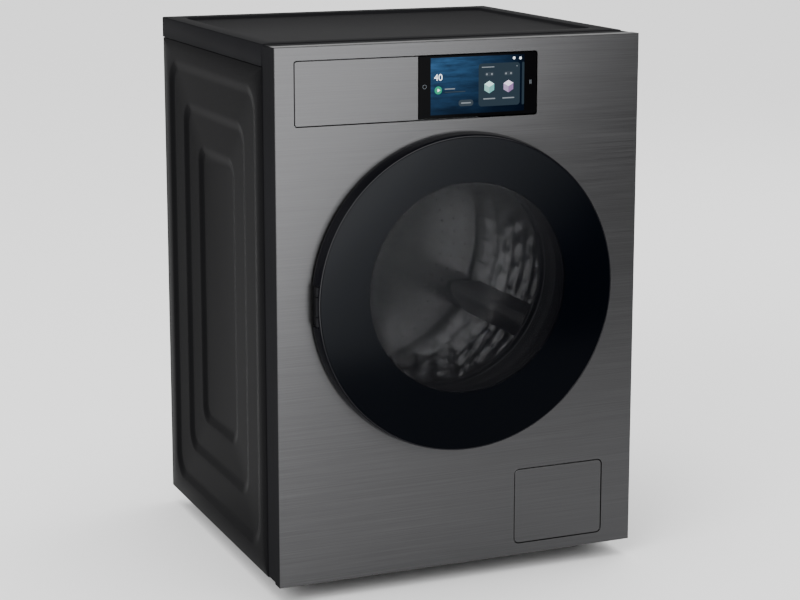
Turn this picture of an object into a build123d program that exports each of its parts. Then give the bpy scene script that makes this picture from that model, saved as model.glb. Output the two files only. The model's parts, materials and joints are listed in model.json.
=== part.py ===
"""Front loading washing machine with a round glass door, built from separate pieces.

Frame: X to the right, Y into the machine, Z up. The origin is on the floor, under the middle.
All sizes are in millimetres.
"""

import os
from math import cos, radians, sin

from build123d import *

os.makedirs("parts", exist_ok=True)

# Cabinet
WIDTH = 600.0
HEIGHT = 850.0
DEPTH = 596.0
HALF = WIDTH / 2
DOOR_FRONT = -DEPTH / 2
REAR = DEPTH / 2
DOOR_DEPTH = 28.0
FACE = DOOR_FRONT + DOOR_DEPTH
BASE = 28.0
SHEET = 1.2
PANEL_DEPTH = 22.0
PANEL_TOP = 849.5
SEAM = 3.0
FRAME_FRONT = FACE + PANEL_DEPTH + SEAM
SIDE_FRONT = FRAME_FRONT + 30.0
SIDE_REAR = 292.5
SIDE_TOP = 815.9
FLANGE = 18.0
REAR_PLATE = 274.0
REAR_OUTSIDE = REAR_PLATE + SHEET
COVER_BOTTOM = 817.4
COVER_WALL = 3.0

# Embossing of the side panels
EMBOSS_OUTER = (-183.0, 264.0, 55.5, 787.0)
EMBOSS_INSET = 64.5
EMBOSS_SLOPE = 15.0
EMBOSS_DEPTH = 3.0
EMBOSS_STEPS = 3
EMBOSS_CORNER = 40.0

# Drum and tub, on one axis along Y
DRUM_Z = 475.0
DRUM_R = 236.0
DRUM_FRONT = -190.0
DRUM_REAR = 145.0
MOUTH_R = 172.0
TUB_R = 254.0
TUB_WALL = 4.0
TUB_FRONT = -200.0
TUB_SPLIT = -20.0
TUB_REAR = 164.0
TUB_FLANGE_R = 258.0
HUB_REAR = 206.0
SHAFT_R = 15.0
BEARING_R = 28.0
RUNNING = 0.05
LIFTER_HEIGHT = 45.0

# Belt drive
PULLEY_FRONT = 216.0
PULLEY_REAR = 232.0
DRUM_PULLEY_R = 140.0
MOTOR_PULLEY_R = 10.0
MOTOR_X = 70.0
MOTOR_Z = 165.0
BELT_GAP = 0.4
BELT_THICK = 3.0

# Door
DOOR_Z = 465.0
DOOR_R = 247.5
DOOR_GAP = 1.5
GLASS_R = 241.6
GLASS_THICK = 4.0
HINGE_X = -240.0
HINGE_Y = -288.0
PIN_R = 2.5
KNUCKLE_R = 5.5
NOTCH = 32.0
HOOK_X = 205.0

# Control panel
DRAWER = (-268.8, -73.1, 732.5, 828.0)
GLASS = (-72.0, 123.2, 733.5, 827.5)
SCREEN = (-53.0, 102.5, 738.5, 824.5)
PANEL_GAP = 1.5
DRAWER_CORNER = 4.0
GLASS_CORNER = 3.0

# Filter flap and pump
FLAP = (94.4, 247.3, 47.4, 167.8)
FLAP_CORNER = 7.5
FLAP_PIVOT = (-268.5, 51.0)
PUMP_X = 171.0
PUMP_Z = 105.0
PLUG_R = 30.9
DRAIN_X = 238.0
DRAIN_R = 10.0
PIPE_R = 9.0
INLET_R = 13.2

# Supports
FOOT_X = 240.0
FOOT_Y = (-180.0, 240.0)
STEM_R = 5.0
SPRING_X = 200.0
SPRING_Y = 80.0
SPRING_R = 12.0
SPRING_WIRE = 1.6
SPRING_LOW = 690.0
SPRING_TURNS = 9
BRACE_TOP = SIDE_TOP - SHEET
BRACE_BOTTOM = BRACE_TOP - 3.0
DAMPER_X = 120.0
DAMPER_Y = 20.0


def front(y):
    """Plane facing the viewer at depth y: local axes are X and Z."""
    return Plane.XZ.offset(-y)


def radial(angle, z=DRUM_Z):
    """Plane through the Y axis at height z: local axes are the radius at this angle, and Y."""
    turn = radians(angle)
    return Plane(origin=(0, 0, z), x_dir=(cos(turn), 0, sin(turn)), z_dir=(-sin(turn), 0, cos(turn)))


def block(x0, x1, y0, y1, z0, z1, mode=Mode.ADD):
    """A box between six faces."""
    with Locations(((x0 + x1) / 2, (y0 + y1) / 2, (z0 + z1) / 2)):
        Box(x1 - x0, y1 - y0, z1 - z0, mode=mode)


def rod_y(x, z, y0, y1, radius, mode=Mode.ADD):
    """A cylinder along Y."""
    with Locations(Location((x, (y0 + y1) / 2, z), (90, 0, 0))):
        Cylinder(radius, y1 - y0, mode=mode)


def rod_z(x, y, z0, z1, radius, mode=Mode.ADD):
    """An upright cylinder."""
    with Locations((x, y, (z0 + z1) / 2)):
        Cylinder(radius, z1 - z0, mode=mode)


def turned(points, z=DRUM_Z, start=0.0, arc=360.0, mode=Mode.ADD):
    """A profile of (radius, y) points turned about the Y axis at height z."""
    with BuildSketch(radial(start, z)) as profile:
        with BuildLine():
            Polyline(*points, close=True)
        make_face()
    revolve(profile.sketch, axis=Axis((0, 0, z), (0, -1, 0)), revolution_arc=arc, mode=mode)


def rounded(x0, x1, z0, z1, corner, y0, y1, mode=Mode.ADD):
    """A plate with rounded corners, its outline in X and Z, from y0 back to y1."""
    with BuildSketch(front(y0)) as outline:
        with Locations(((x0 + x1) / 2, (z0 + z1) / 2)):
            RectangleRounded(x1 - x0, z1 - z0, corner)
    extrude(outline.sketch, amount=y0 - y1, mode=mode)


def write(piece, name):
    """Label a finished piece and write it as its own file."""
    piece.part.label = name
    export_step(piece.part, f"parts/{name}.step")


# ---------------------------------------------------------------- cabinet

for side, name in ((-1, "side_panel_left"), (1, "side_panel_right")):
    with BuildPart() as side_panel:
        skin = sorted((side * HALF, side * (HALF - SHEET)))
        block(*skin, SIDE_FRONT, SIDE_REAR, BASE, SIDE_TOP)
        y_low, y_high, z_low, z_high = EMBOSS_OUTER
        middle = ((y_low + y_high) / 2, (z_low + z_high) / 2)
        for thick, mode in ((SHEET, Mode.ADD), (0.0, Mode.SUBTRACT)):
            for step in range(EMBOSS_STEPS):
                wide = y_high - y_low - 2 * step * EMBOSS_INSET + 2 * thick
                tall = z_high - z_low - 2 * step * EMBOSS_INSET + 2 * thick
                corner = EMBOSS_CORNER - 8 * step + thick
                outside = HALF - step * EMBOSS_DEPTH
                inside = outside - EMBOSS_DEPTH - thick
                with BuildSketch(Plane.YZ.offset(side * outside)):
                    with Locations(middle):
                        RectangleRounded(wide, tall, corner)
                with BuildSketch(Plane.YZ.offset(side * inside)):
                    with Locations(middle):
                        RectangleRounded(wide - 2 * EMBOSS_SLOPE, tall - 2 * EMBOSS_SLOPE, corner - 10)
                loft(mode=mode)
        flange = sorted((side * HALF, side * (HALF - FLANGE)))
        block(*flange, SIDE_FRONT, SIDE_REAR, SIDE_TOP - SHEET, SIDE_TOP)
        block(*flange, SIDE_REAR - SHEET, SIDE_REAR, BASE, SIDE_TOP)
    write(side_panel, name)

with BuildPart() as rear_panel:
    block(-HALF + SHEET, HALF - SHEET, REAR_PLATE, REAR_OUTSIDE, 54, SIDE_TOP - SHEET)
    rod_y(0, DRUM_Z, REAR_PLATE - 1, REAR_OUTSIDE + 1, 150, Mode.SUBTRACT)
    for x in (-230, -170):
        rod_y(x, 788, REAR_PLATE - 1, REAR_OUTSIDE + 1, 15, Mode.SUBTRACT)
    rod_y(DRAIN_X, PUMP_Z, REAR_PLATE - 1, REAR_OUTSIDE + 1, DRAIN_R + 1, Mode.SUBTRACT)
    block(216, 244, REAR_PLATE - 1, REAR_OUTSIDE + 1, 774, 800, Mode.SUBTRACT)
write(rear_panel, "rear_panel")

with BuildPart() as rear_access_cover:
    turned([(0, 284), (135, 284), (148, 275.2), (165, 275.2), (165, 276.4),
            (148.6, 276.4), (135.6, 285.2), (0, 285.2)])
write(rear_access_cover, "rear_access_cover")

with BuildPart() as base_tray:
    block(-HALF + SHEET, HALF - SHEET, SIDE_FRONT, REAR_PLATE, BASE, 54)
    block(-HALF + 5, HALF - 5, SIDE_FRONT + 4, REAR_PLATE - 4, BASE + 3, 55, Mode.SUBTRACT)
    for x in (-FOOT_X, FOOT_X):
        for y in FOOT_Y:
            rod_z(x, y, BASE, 54, 14)
            rod_z(x, y, BASE - 1, 55, STEM_R + RUNNING, Mode.SUBTRACT)
    for x in (-DAMPER_X, DAMPER_X):
        rod_z(x, DAMPER_Y, BASE, 40, 18)
write(base_tray, "base_tray")

with BuildPart() as front_frame:
    block(-HALF + 1, HALF - 1, FRAME_FRONT, SIDE_FRONT, BASE, 849)
    chamfer(front_frame.edges().filter_by(Axis.Y), 2.0)
    block(-HALF + 3.5, HALF - 3.5, FACE + 1.7, FRAME_FRONT, BASE + 3.5, 845.5)
    block(-275, 275, FACE, SIDE_FRONT + 1, 44, 832, Mode.SUBTRACT)
write(front_frame, "front_frame")

with BuildPart() as front_panel:
    block(-HALF, HALF, FACE, FACE + PANEL_DEPTH, BASE, PANEL_TOP)
    chamfer(front_panel.faces().sort_by(Axis.Y)[0].edges(), 0.8)
    block(-HALF + SHEET, HALF - SHEET, FACE + SHEET, FACE + PANEL_DEPTH + 1,
          BASE + SHEET, PANEL_TOP - SHEET, Mode.SUBTRACT)
    rounded(DRAWER[0] - PANEL_GAP, GLASS[1] + PANEL_GAP, DRAWER[2] - PANEL_GAP, DRAWER[3] + PANEL_GAP,
            4.5, FACE - 1, FACE + 2, Mode.SUBTRACT)
    rod_y(0, DRUM_Z, FACE - 1, FACE + 2, MOUTH_R, Mode.SUBTRACT)
    rounded(FLAP[0] - PANEL_GAP, FLAP[1] + PANEL_GAP, FLAP[2] - PANEL_GAP, FLAP[3] + PANEL_GAP,
            FLAP_CORNER + PANEL_GAP, FACE - 1, FACE + 2, Mode.SUBTRACT)
    block(HINGE_X - 3, HINGE_X + 6, FACE - 1, FACE + 2, DOOR_Z - NOTCH, DOOR_Z + NOTCH, Mode.SUBTRACT)
    block(HOOK_X - 9, HOOK_X + 9, FACE - 1, FACE + 2, DOOR_Z - 14, DOOR_Z + 14, Mode.SUBTRACT)
write(front_panel, "front_panel")

with BuildPart() as top_cover:
    block(-HALF, HALF, SIDE_FRONT, REAR, COVER_BOTTOM, HEIGHT)
    fillet(top_cover.edges().filter_by(Axis.Z).group_by(Axis.Y)[-1], 8.0)
    chamfer(top_cover.faces().sort_by(Axis.Z)[-1].edges(), 1.5)
    block(-HALF + COVER_WALL, HALF - COVER_WALL, SIDE_FRONT - 1, REAR - 9,
          COVER_BOTTOM - 1, HEIGHT - 8, Mode.SUBTRACT)
    for x in (-288, 285):
        block(x, x + 3, SIDE_FRONT, REAR - 9, SIDE_TOP, HEIGHT - 8)
    with BuildSketch(Plane.XY.offset(HEIGHT)):
        with Locations((0, 47.5)):
            RectangleRounded(546, 435, 12)
    with BuildSketch(Plane.XY.offset(HEIGHT - 4)):
        with Locations((0, 47.5)):
            RectangleRounded(540, 429, 9)
    loft(mode=Mode.SUBTRACT)
write(top_cover, "top_cover")

with BuildPart() as top_brace:
    block(-HALF + SHEET, HALF - SHEET, SPRING_Y - 22, SPRING_Y + 22, BRACE_BOTTOM, BRACE_TOP)
    for x in (-SPRING_X, SPRING_X):
        rod_z(x, SPRING_Y, BRACE_BOTTOM - 6, BRACE_BOTTOM, SPRING_R + 3)
write(top_brace, "top_brace")

with BuildPart() as cabinet_screws:
    for x in (-275, 275):
        for z in (90, 330, 560, 790):
            rod_y(x, z, REAR_OUTSIDE, REAR_OUTSIDE + 2.5, 5)
    for angle in range(30, 360, 60):
        x = 157 * cos(radians(angle))
        z = DRUM_Z + 157 * sin(radians(angle))
        rod_y(x, z, 276.4, 279, 4.5)
write(cabinet_screws, "cabinet_screws")

for across, x in (("left", -FOOT_X), ("right", FOOT_X)):
    for along, y in zip(("front", "rear"), FOOT_Y):
        with BuildPart() as foot:
            rod_z(x, y, 0, 8, 21)
            fillet(foot.edges().group_by(Axis.Z)[0], 1.5)
            rod_z(x, y, 8, 14, 13)
            rod_z(x, y, 14, 52, STEM_R)
            with BuildSketch(Plane.XY.offset(18)):
                with Locations((x, y)):
                    RegularPolygon(11, 6)
            extrude(amount=6)
        write(foot, f"foot_{along}_{across}")

# ---------------------------------------------------------------- controls

with BuildPart() as display_glass:
    rounded(*GLASS, GLASS_CORNER, FACE, FACE + 3)
    block(GLASS[0], GLASS[0] + GLASS_CORNER, FACE, FACE + 3, GLASS[2], GLASS[3])
    chamfer(display_glass.faces().sort_by(Axis.Y)[0].edges(), 0.4)
write(display_glass, "display_glass")

with BuildPart() as display_screen:
    block(*SCREEN[:2], FACE + 3, FACE + 8, *SCREEN[2:])
write(display_screen, "display_screen")

with BuildPart() as display_housing:
    block(GLASS[0] + 1, GLASS[1] - 1, FACE + 3, FACE + 35, GLASS[2] + 0.5, GLASS[3] - 0.5)
    block(SCREEN[0] - 1, SCREEN[1] + 1, FACE + 2, FACE + 10, SCREEN[2] - 1, SCREEN[3] + 1, Mode.SUBTRACT)
write(display_housing, "display_housing")

with BuildPart() as main_control_board:
    block(-55, 112, -226, -224.4, 742, 822)
    for x in (-50, 107):
        for z in (747, 817):
            rod_y(x, z, -235, -226, 3)
    for x, wide, tall, deep in ((-40, 24, 30, 14), (-8, 18, 18, 8), (22, 30, 22, 18), (62, 26, 34, 12)):
        block(x, x + wide, -224.4, -224.4 + deep, 780 - tall / 2, 780 + tall / 2)
    for x in range(-45, 100, 36):
        block(x, x + 22, -224.4, -214, 744, 752)
write(main_control_board, "main_control_board")

with BuildPart() as dispenser_housing:
    block(-268.5, -75.5, -261, 35, 731, 830.5)
    block(-266, -78, -262, 32.5, 733.5, 828, Mode.SUBTRACT)
    for x in (-230, -170):
        rod_y(x, 788, 30, 36, 6, Mode.SUBTRACT)
    rod_z(-120, 12, 730, 734, 12, Mode.SUBTRACT)
write(dispenser_housing, "dispenser_housing")

with BuildPart() as drawer_front:
    rounded(*DRAWER, DRAWER_CORNER, FACE, FACE + 8)
    block(DRAWER[1] - DRAWER_CORNER, DRAWER[1], FACE, FACE + 8, DRAWER[2], DRAWER[3])
    chamfer(drawer_front.faces().sort_by(Axis.Y)[0].edges(), 0.5)
write(drawer_front, "drawer_front")

# The two dividers slide into the tray from above, so each is a solid of its own.
with BuildPart() as drawer_tray:
    block(-264, -80, FACE + 8, 20, 735.5, 818)
    block(-261.5, -82.5, FACE + 11, 17.5, 738.5, 819, Mode.SUBTRACT)
    for x in (-204, -150):
        block(x, x + 2.5, FACE + 11 + RUNNING, 17.5 - RUNNING, 738.5 + RUNNING, 818)
write(drawer_tray, "drawer_tray")

with BuildPart() as inlet_valve:
    block(-252, -148, 236, 262, 772, 804)
    for x in (-230, -170):
        rod_y(x, 788, 262, REAR_OUTSIDE, 12)
        rod_y(x, 788, REAR_OUTSIDE, REAR - 2, INLET_R)
        rod_y(x, 788, 266, REAR, 9, Mode.SUBTRACT)
        rod_y(x, 788, 205, 236, 14)
        rod_y(x, 788, 204, 225, 6, Mode.SUBTRACT)
write(inlet_valve, "inlet_valve")

with BuildPart() as inlet_pipes:
    for x in (-230, -170):
        rod_y(x, 788, 35, 205, 8)
        rod_y(x, 788, 34, 206, 6, Mode.SUBTRACT)
write(inlet_pipes, "inlet_pipes")

with BuildPart() as fill_hose:
    rod_z(-120, 12, 712.5, 731, 14)
    for z in (715, 720, 725):
        rod_z(-120, 12, z, z + 2.5, 17)
    rod_z(-120, 12, 711, 732, 12, Mode.SUBTRACT)
write(fill_hose, "fill_hose")

with BuildPart() as mains_inlet:
    block(216.5, 243.5, 252, REAR_OUTSIDE, 774.5, 799.5)
    block(212, 248, REAR_OUTSIDE, REAR_OUTSIDE + 3, 770, 804)
    block(220, 240, 262, REAR_OUTSIDE + 4, 778, 796, Mode.SUBTRACT)
    for x in (224, 230, 236):
        block(x - 1.2, x + 1.2, 261, 272, 784, 790)
write(mains_inlet, "mains_inlet")

# ---------------------------------------------------------------- pump and drain

with BuildPart() as pump_housing:
    rod_y(PUMP_X, PUMP_Z, -238, -110, 36)
    rod_y(PUMP_X, PUMP_Z, -110, -80, 40)
    rod_y(PUMP_X, PUMP_Z, -80, -20, 24)
    rounded(104, 238, 57, 158, 6, -241, -238)
    rod_z(PUMP_X, -160, PUMP_Z, 147, 16)
    with Locations(Location((209, -95, PUMP_Z), (0, 90, 0))):
        Cylinder(12, 16)
    rod_y(PUMP_X, PUMP_Z, -242, -112, PLUG_R + RUNNING, Mode.SUBTRACT)
    rod_y(PUMP_X, PUMP_Z, -113, -84, 35, Mode.SUBTRACT)
    rod_z(PUMP_X, -160, PUMP_Z, 148, 12, Mode.SUBTRACT)
    with Locations(Location((209, -95, PUMP_Z), (0, 90, 0))):
        Cylinder(8, 18, mode=Mode.SUBTRACT)
write(pump_housing, "pump_housing")

with BuildPart() as pump_impeller:
    rod_y(PUMP_X, PUMP_Z, -108, -86, 8)
    for blade in range(6):
        with Locations(Location((PUMP_X, -97, PUMP_Z), (0, 60 * blade, 0))):
            Box(27, 16, 2.5, align=(Align.MIN, Align.CENTER, Align.CENTER))
write(pump_impeller, "pump_impeller")

with BuildPart() as filter_plug:
    rod_y(PUMP_X, PUMP_Z, -245, -215, PLUG_R)
    rod_y(PUMP_X, PUMP_Z, -215, -140, 27)
    rod_y(PUMP_X, PUMP_Z, -212, -139, 24.5, Mode.SUBTRACT)
    for turn in range(0, 180, 45):
        with Locations(Location((PUMP_X, -172, PUMP_Z), (0, turn, 0))):
            Box(60, 52, 6, mode=Mode.SUBTRACT)
    block(PUMP_X - 22, PUMP_X + 22, -257, -245, PUMP_Z - 4, PUMP_Z + 4)
write(filter_plug, "filter_plug")

with BuildPart() as filter_flap:
    rounded(*FLAP, FLAP_CORNER, FACE, FACE + 3)
    chamfer(filter_flap.faces().sort_by(Axis.Y)[0].edges(), 0.5)
    for x in (115, 220):
        block(x, x + 8, FACE + 3, FACE + 6, FLAP[2] + 1, FLAP[2] + 9)
    for x in (FLAP[0] + 1.9, FLAP[1] - 1.9):
        with Locations(Location((x, *FLAP_PIVOT), (0, 90, 0))):
            Cylinder(1.0, 4.0)
write(filter_flap, "filter_flap")

with BuildPart() as drain_pipe:
    with BuildLine() as route:
        FilletPolyline((217, -95, PUMP_Z), (DRAIN_X, -95, PUMP_Z), (DRAIN_X, 280, PUMP_Z), radius=18)
    with BuildSketch(Plane(origin=(217, -95, PUMP_Z), z_dir=(1, 0, 0))):
        Circle(PIPE_R)
    sweep(path=route.line)
    rod_y(DRAIN_X, PUMP_Z, REAR_OUTSIDE, REAR - 2, DRAIN_R)
    rod_y(DRAIN_X, PUMP_Z, 150, REAR, PIPE_R - 2, Mode.SUBTRACT)
write(drain_pipe, "drain_pipe")

with BuildPart() as sump_hose:
    rod_z(PUMP_X, -160, 147, 274, 15)
    for z in range(156, 262, 15):
        rod_z(PUMP_X, -160, z, z + 7, 18)
    rod_z(PUMP_X, -160, 146, 275, 12, Mode.SUBTRACT)
write(sump_hose, "sump_hose")

# ---------------------------------------------------------------- tub and its suspension

with BuildPart() as tub_front:
    rod_y(0, DRUM_Z, TUB_FRONT, TUB_SPLIT, TUB_R)
    rod_y(0, DRUM_Z, TUB_SPLIT - 4, TUB_SPLIT, TUB_FLANGE_R)
    for angle in (0, 25, 150, 180, 205, 235, 305, 335):
        with Locations(Location((0, TUB_SPLIT - 2, DRUM_Z), (0, -angle, 0)) * Location((258, 0, 0))):
            Box(16, 4, 16)
    rod_z(PUMP_X, -160, 274, 330, 16)
    rod_y(0, DRUM_Z, TUB_FRONT - 15, TUB_FRONT, MOUTH_R + 10)
    rod_y(0, DRUM_Z, TUB_FRONT + TUB_WALL, TUB_SPLIT + 1, TUB_R - TUB_WALL, Mode.SUBTRACT)
    rod_y(0, DRUM_Z, TUB_FRONT - 16, TUB_FRONT + 5, MOUTH_R + 6, Mode.SUBTRACT)
    rod_z(PUMP_X, -160, 270, 334, 12, Mode.SUBTRACT)
    for x in (-20, 20):
        rod_y(x, 232.8, TUB_FRONT - 1, TUB_FRONT + 5, 3.55, Mode.SUBTRACT)
write(tub_front, "tub_front")

with BuildPart() as tub_rear:
    rod_y(0, DRUM_Z, TUB_SPLIT, TUB_REAR, TUB_R)
    rod_y(0, DRUM_Z, TUB_SPLIT, TUB_SPLIT + 4, TUB_FLANGE_R)
    for angle in (0, 25, 150, 180, 205, 235, 305, 335):
        with Locations(Location((0, TUB_SPLIT + 2, DRUM_Z), (0, -angle, 0)) * Location((258, 0, 0))):
            Box(16, 4, 16)
    for angle in range(0, 360, 30):
        with Locations(Location((0, TUB_REAR + 8, DRUM_Z), (0, angle, 0)) * Location((140, 0, 0))):
            Box(205, 16, 4)
    rod_y(0, DRUM_Z, TUB_REAR, HUB_REAR, 42)
    for x in (-SPRING_X, SPRING_X):
        block(x - 10, x + 10, SPRING_Y - 8, SPRING_Y + 8, DRUM_Z, SPRING_LOW)
    for x in (-DAMPER_X, DAMPER_X):
        block(x - 10, x + 10, DAMPER_Y - 8, DAMPER_Y + 8, 238, 300)
    for y in (60, 130):
        block(MOTOR_X - 30, MOTOR_X + 30, y, y + 10, 214, 280)
    rod_z(-120, 12, 660, 712, 17)
    rod_y(0, DRUM_Z, TUB_SPLIT - 1, TUB_REAR - TUB_WALL, TUB_R - TUB_WALL, Mode.SUBTRACT)
    rod_y(0, DRUM_Z, TUB_REAR - 5, HUB_REAR + 1, BEARING_R, Mode.SUBTRACT)
    rod_z(-120, 12, 650, 713, 12, Mode.SUBTRACT)
write(tub_rear, "tub_rear")

with BuildPart() as tub_screws:
    for angle in (0, 25, 150, 180, 205, 235, 305, 335):
        with Locations(Location((0, TUB_SPLIT - 6.5, DRUM_Z), (0, -angle, 0)) * Location((260, 0, 0), (90, 0, 0))):
            Cylinder(4.5, 5)
write(tub_screws, "tub_screws")

with BuildPart() as counterweight_top:
    turned([(254.3, -10), (292, -10), (292, 130), (254.3, 130)], start=52, arc=34)
write(counterweight_top, "counterweight_top")

with BuildPart() as counterweight_front:
    turned([(190, -232), (248, -232), (248, -200.3), (190, -200.3)], start=200, arc=140)
write(counterweight_front, "counterweight_front")

with BuildPart() as heater:
    with BuildLine() as coil:
        FilletPolyline((-20, TUB_FRONT, 232.8), (-20, 100, 232.8), (20, 100, 232.8),
                       (20, TUB_FRONT, 232.8), radius=16)
    with BuildSketch(Plane(origin=(-20, TUB_FRONT, 232.8), z_dir=(0, 1, 0))):
        Circle(3.5)
    sweep(path=coil.line)
write(heater, "heater")

with BuildPart() as drum_bearings:
    for y in (168, 190):
        rod_y(0, DRUM_Z, y, y + 14, BEARING_R - RUNNING)
        rod_y(0, DRUM_Z, y - 1, y + 15, SHAFT_R + RUNNING, Mode.SUBTRACT)
write(drum_bearings, "drum_bearings")

with BuildPart() as motor_body:
    rod_y(MOTOR_X, MOTOR_Z, 40, 160, 45)
    block(MOTOR_X - 35, MOTOR_X + 35, 50, 150, MOTOR_Z, 214)
    rod_y(MOTOR_X, MOTOR_Z, 154, 161, 6 + RUNNING, Mode.SUBTRACT)
write(motor_body, "motor_body")

with BuildPart() as motor_pulley:
    rod_y(MOTOR_X, MOTOR_Z, 155, PULLEY_REAR, 6)
    rod_y(MOTOR_X, MOTOR_Z, PULLEY_FRONT, PULLEY_REAR, MOTOR_PULLEY_R)
write(motor_pulley, "motor_pulley")

with BuildPart() as drive_belt:
    with BuildSketch(front(PULLEY_FRONT + 1)) as band:
        with Locations((0, DRUM_Z)):
            Circle(DRUM_PULLEY_R + BELT_GAP + BELT_THICK)
        with Locations((MOTOR_X, MOTOR_Z)):
            Circle(MOTOR_PULLEY_R + BELT_GAP + BELT_THICK)
        make_hull()
    with BuildSketch(front(PULLEY_FRONT + 1)) as hollow:
        with Locations((0, DRUM_Z)):
            Circle(DRUM_PULLEY_R + BELT_GAP)
        with Locations((MOTOR_X, MOTOR_Z)):
            Circle(MOTOR_PULLEY_R + BELT_GAP)
        make_hull()
    extrude(band.sketch, amount=-14)
    extrude(hollow.sketch, amount=-14, mode=Mode.SUBTRACT)
write(drive_belt, "drive_belt")

with BuildPart() as damper_cylinders:
    for x in (-DAMPER_X, DAMPER_X):
        rod_z(x, DAMPER_Y, 40, 160, 14)
        rod_z(x, DAMPER_Y, 50, 161, STEM_R + RUNNING, Mode.SUBTRACT)
write(damper_cylinders, "damper_cylinders")

with BuildPart() as damper_rods:
    for x in (-DAMPER_X, DAMPER_X):
        rod_z(x, DAMPER_Y, 70, 238, STEM_R)
write(damper_rods, "damper_rods")

with BuildPart() as suspension_springs:
    spring_top = BRACE_BOTTOM - 6
    for x in (-SPRING_X, SPRING_X):
        with BuildLine() as spiral:
            Helix(pitch=(spring_top - SPRING_LOW - 2 * SPRING_WIRE) / SPRING_TURNS,
                  height=spring_top - SPRING_LOW - 2 * SPRING_WIRE, radius=SPRING_R,
                  center=(x, SPRING_Y, SPRING_LOW + SPRING_WIRE))
        with BuildSketch(Plane(origin=spiral.line @ 0, z_dir=spiral.line % 0)):
            Circle(SPRING_WIRE)
        sweep(path=spiral.line, is_frenet=True)
write(suspension_springs, "suspension_springs")

# ---------------------------------------------------------------- drum

with BuildPart() as drum_shell:
    turned([(DRUM_R, DRUM_FRONT), (DRUM_R, DRUM_REAR), (DRUM_R - 1, DRUM_REAR),
            (DRUM_R - 1, DRUM_FRONT + 1), (MOUTH_R + 2, DRUM_FRONT + 1), (MOUTH_R + 2, DRUM_FRONT + 6),
            (MOUTH_R, DRUM_FRONT + 6), (MOUTH_R, DRUM_FRONT)])
write(drum_shell, "drum_shell")

with BuildPart() as drum_back:
    turned([(0, 139), (60, 139), (75, 143), (DRUM_R - 1.1, 143), (DRUM_R - 1.1, 145),
            (74.5, 145), (59.5, 141), (0, 141)])
write(drum_back, "drum_back")

with BuildPart() as drum_lifters:
    for angle in (90, 210, 330):
        turn = radians(angle)
        base = Plane(origin=(0, -178, DRUM_Z), x_dir=(cos(turn), 0, sin(turn)), z_dir=(0, -1, 0))
        root_r = DRUM_R - 3.1
        crest_r = root_r - LIFTER_HEIGHT
        with BuildSketch(base):
            with BuildLine():
                Polyline((root_r, -30), (root_r, 30), (crest_r + 10, 13), (crest_r, 8),
                         (crest_r, -8), (crest_r + 10, -13), close=True)
            make_face()
        extrude(amount=-312)
write(drum_lifters, "drum_lifters")

with BuildPart() as drum_spider:
    rod_y(0, DRUM_Z, 145.1, 157, 52)
    for angle in (90, 210, 330):
        with Locations(Location((0, 151, DRUM_Z), (0, -angle, 0))):
            Box(228, 11.8, 38, align=(Align.MIN, Align.CENTER, Align.CENTER))
write(drum_spider, "drum_spider")

with BuildPart() as drum_shaft:
    rod_y(0, DRUM_Z, 157, PULLEY_FRONT, SHAFT_R)
    rod_y(0, DRUM_Z, PULLEY_FRONT, PULLEY_REAR + 6, 12)
write(drum_shaft, "drum_shaft")

with BuildPart() as drum_pulley:
    rod_y(0, DRUM_Z, PULLEY_FRONT, PULLEY_REAR, DRUM_PULLEY_R)
    rod_y(0, DRUM_Z, PULLEY_FRONT - 1, PULLEY_REAR + 1, DRUM_PULLEY_R - 10, Mode.SUBTRACT)
    rod_y(0, DRUM_Z, PULLEY_FRONT, PULLEY_REAR, 26)
    for spoke in range(5):
        with Locations(Location((0, (PULLEY_FRONT + PULLEY_REAR) / 2, DRUM_Z), (0, 72 * spoke, 0))):
            Box(DRUM_PULLEY_R - 5, 8, 18, align=(Align.MIN, Align.CENTER, Align.CENTER))
    rod_y(0, DRUM_Z, PULLEY_FRONT - 1, PULLEY_REAR + 1, 12 + RUNNING, Mode.SUBTRACT)
write(drum_pulley, "drum_pulley")

# ---------------------------------------------------------------- door

door_back = FACE - DOOR_GAP

with BuildPart() as door_ring:
    turned([(236, -290), (236, -294), (241.8, -294), (241.8, DOOR_FRONT), (243.2, DOOR_FRONT),
            (244, -297.2), (DOOR_R, -277), (246.5, -273), (243.5, door_back), (238, door_back),
            (238, -290)], z=DOOR_Z)
    block(-250, -228, -294, FACE, DOOR_Z - NOTCH, DOOR_Z + NOTCH, Mode.SUBTRACT)
write(door_ring, "door_ring")

with BuildPart() as door_glass:
    rod_y(0, DOOR_Z, DOOR_FRONT, DOOR_FRONT + GLASS_THICK, GLASS_R)
write(door_glass, "door_glass")

with BuildPart() as door_inner_frame:
    rod_y(0, DOOR_Z, -276, door_back, 237.9)
    rod_y(0, DRUM_Z, -293, door_back, 168)
    rod_y(0, DRUM_Z, -294, FACE, 162, Mode.SUBTRACT)
    block(-250, -228, -294, FACE, DOOR_Z - NOTCH, DOOR_Z + NOTCH, Mode.SUBTRACT)
    block(HOOK_X - 9, HOOK_X + 9, -294, FACE, DOOR_Z - 10, DOOR_Z + 10, Mode.SUBTRACT)
write(door_inner_frame, "door_inner_frame")

with BuildPart() as door_bowl:
    turned([(161.5, -293), (161.5, -288), (158, -286), (157, -268), (146, -185), (134, -166),
            (0, -158), (0, -163), (131, -171), (141, -188), (152, -268), (153, -293)])
write(door_bowl, "door_bowl")

with BuildPart() as door_hinge_arm:
    with Locations((HINGE_X, HINGE_Y, DOOR_Z)):
        Cylinder(KNUCKLE_R, 29)
    block(HINGE_X, -205, -286, -281, DOOR_Z - 14.5, DOOR_Z + 14.5)
    block(-225, -205, -281, -276, DOOR_Z - 14.5, DOOR_Z + 14.5)
    with Locations((HINGE_X, HINGE_Y, DOOR_Z)):
        Cylinder(PIN_R + RUNNING, 40, mode=Mode.SUBTRACT)
write(door_hinge_arm, "door_hinge_arm")

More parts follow.
